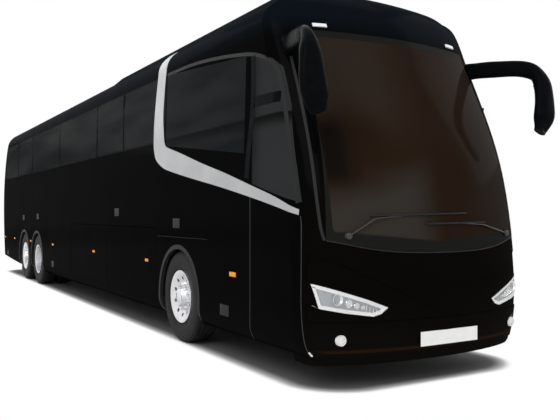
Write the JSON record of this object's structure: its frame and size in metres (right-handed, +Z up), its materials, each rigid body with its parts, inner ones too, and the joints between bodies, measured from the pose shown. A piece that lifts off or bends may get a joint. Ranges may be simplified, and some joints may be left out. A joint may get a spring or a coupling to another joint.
{
  "type": "three-axle touring coach bus",
  "caption": "Touring coach bus with three axles, raised saloon, roof air-conditioning pod, steering front wheels, plug entrance door, side exit door, luggage flaps and engine door.",
  "frame": {"origin": "on the road under the centre of the whole coach's box", "axes": "+Z up, the coach faces -Y and its tail is at +Y, its right-hand side is -X"},
  "size_m": [2.954, 14.98, 3.81],
  "materials": {
    "body_paint": "gloss black paint",
    "glass": "dark tinted",
    "lamp_glass": "clear lens",
    "lamp_red": "red lens",
    "floor": "ribbed vinyl on board",
    "dark_plastic": "moulded black",
    "seat_fabric": "woven seat cloth",
    "chassis_paint": "satin black",
    "engine_iron": "bare casting",
    "rubber": "moulded rubber",
    "tyre": "tyre rubber",
    "rim": "polished"
  },
  "bodies": {
    "coach_body": {"front_cap": "body_paint", "front_mask": "body_paint", "front_bumper": "body_paint", "corner_panel_right": "body_paint", "corner_panel_left": "body_paint", "side_wall_right": "body_paint", "side_wall_left": "body_paint", "roof_shell": "body_paint", "roof_pod": "body_paint", "rear_panel": "body_paint", "windscreen": "glass", "driver_window": "glass", "side_windows_right": "glass", "side_windows_left": "glass", "rear_window": "glass", "headlamps": "lamp_glass", "fog_lamps": "lamp_glass", "tail_lamps": "lamp_red", "floor_deck": "floor", "cab_floor": "floor", "entrance_steps": "floor", "dashboard": "dark_plastic", "steering_wheel": "dark_plastic", "luggage_racks": "dark_plastic", "wheel_housings": "dark_plastic", "mirror_right": "dark_plastic", "mirror_left": "dark_plastic", "passenger_seats_right": "seat_fabric", "passenger_seats_left": "seat_fabric", "driver_seat": "seat_fabric", "chassis_frame": "chassis_paint", "front_axle_beam": "chassis_paint", "drive_axle_casing": "chassis_paint", "tag_axle_beam": "chassis_paint", "engine_block": "engine_iron", "air_springs": "rubber"},
    "knuckle_right": {"knuckle_right": "chassis_paint"},
    "front_wheel_right": {"front_rim_right": "rim", "front_tyre_right": "tyre"},
    "drive_wheel_right": {"drive_rim_right": "rim", "drive_tyre_right": "tyre"},
    "tag_wheel_right": {"tag_rim_right": "rim", "tag_tyre_right": "tyre"},
    "luggage_flap_right_1": {"luggage_flap_right_1": "body_paint"},
    "luggage_flap_right_2": {"luggage_flap_right_2": "body_paint"},
    "knuckle_left": {"knuckle_left": "chassis_paint"},
    "front_wheel_left": {"front_rim_left": "rim", "front_tyre_left": "tyre"},
    "drive_wheel_left": {"drive_rim_left": "rim", "drive_tyre_left": "tyre"},
    "tag_wheel_left": {"tag_rim_left": "rim", "tag_tyre_left": "tyre"},
    "luggage_flap_left_1": {"luggage_flap_left_1": "body_paint"},
    "luggage_flap_left_2": {"luggage_flap_left_2": "body_paint"},
    "exit_door": {"exit_door": "body_paint"},
    "entrance_arm": {"entrance_door_arm": "chassis_paint"},
    "entrance_door": {"entrance_door": "body_paint", "entrance_glass": "glass"},
    "engine_door": {"engine_door": "body_paint"}
  },
  "joints": [
    {"name": "steer_right", "type": "hinge", "parent": "coach_body", "child": "knuckle_right", "pos_m": [-0.9, -4.5, 0.522], "axis": [0, 0, 1], "range_deg": [-45, 45]},
    {"name": "front_wheel_right_spin", "type": "hinge", "parent": "knuckle_right", "child": "front_wheel_right", "pos_m": [-1.1, -4.5, 0.522], "axis": [1, 0, 0], "continuous": true},
    {"name": "drive_wheel_right_spin", "type": "hinge", "parent": "coach_body", "child": "drive_wheel_right", "pos_m": [-0.93, 3.2, 0.522], "axis": [1, 0, 0], "continuous": true},
    {"name": "tag_wheel_right_spin", "type": "hinge", "parent": "coach_body", "child": "tag_wheel_right", "pos_m": [-1.1, 4.55, 0.522], "axis": [1, 0, 0], "continuous": true},
    {"name": "luggage_flap_right_1_hinge", "type": "hinge", "parent": "coach_body", "child": "luggage_flap_right_1", "pos_m": [-1.275, -2.7875, 1.294], "axis": [0, 1, 0], "range_deg": [0, 85]},
    {"name": "luggage_flap_right_2_hinge", "type": "hinge", "parent": "coach_body", "child": "luggage_flap_right_2", "pos_m": [-1.275, -0.7125, 1.294], "axis": [0, 1, 0], "range_deg": [0, 85]},
    {"name": "steer_left", "type": "hinge", "parent": "coach_body", "child": "knuckle_left", "pos_m": [0.9, -4.5, 0.522], "axis": [0, 0, 1], "range_deg": [-45, 45]},
    {"name": "front_wheel_left_spin", "type": "hinge", "parent": "knuckle_left", "child": "front_wheel_left", "pos_m": [1.1, -4.5, 0.522], "axis": [1, 0, 0], "continuous": true},
    {"name": "drive_wheel_left_spin", "type": "hinge", "parent": "coach_body", "child": "drive_wheel_left", "pos_m": [0.93, 3.2, 0.522], "axis": [1, 0, 0], "continuous": true},
    {"name": "tag_wheel_left_spin", "type": "hinge", "parent": "coach_body", "child": "tag_wheel_left", "pos_m": [1.1, 4.55, 0.522], "axis": [1, 0, 0], "continuous": true},
    {"name": "luggage_flap_left_1_hinge", "type": "hinge", "parent": "coach_body", "child": "luggage_flap_left_1", "pos_m": [1.275, -2.7875, 1.294], "axis": [0, -1, 0], "range_deg": [0, 85]},
    {"name": "luggage_flap_left_2_hinge", "type": "hinge", "parent": "coach_body", "child": "luggage_flap_left_2", "pos_m": [1.275, -0.7125, 1.294], "axis": [0, -1, 0], "range_deg": [0, 85]},
    {"name": "exit_door_hinge", "type": "hinge", "parent": "coach_body", "child": "exit_door", "pos_m": [-1.275, 0.356, 1.3], "axis": [0, 0, 1], "range_deg": [0, 90]},
    {"name": "entrance_arm_swing", "type": "hinge", "parent": "coach_body", "child": "entrance_arm", "pos_m": [1.1, -6.69, 1.5], "axis": [0, 0, -1], "range_deg": [0, 125]},
    {"name": "entrance_door_swing", "type": "hinge", "parent": "entrance_arm", "child": "entrance_door", "pos_m": [1.072, -6.28, 1.5], "axis": [0, 0, 1], "range_deg": [0, 125]},
    {"name": "engine_door_hinge", "type": "hinge", "parent": "coach_body", "child": "engine_door", "pos_m": [0, 7.49, 1.494], "axis": [1, 0, 0], "range_deg": [0, 80]}
  ],
  "couplings": [
    {"joint": "steer_left", "follows": "steer_right", "ratio": 1},
    {"joint": "entrance_door_swing", "follows": "entrance_arm_swing", "ratio": 1}
  ]
}
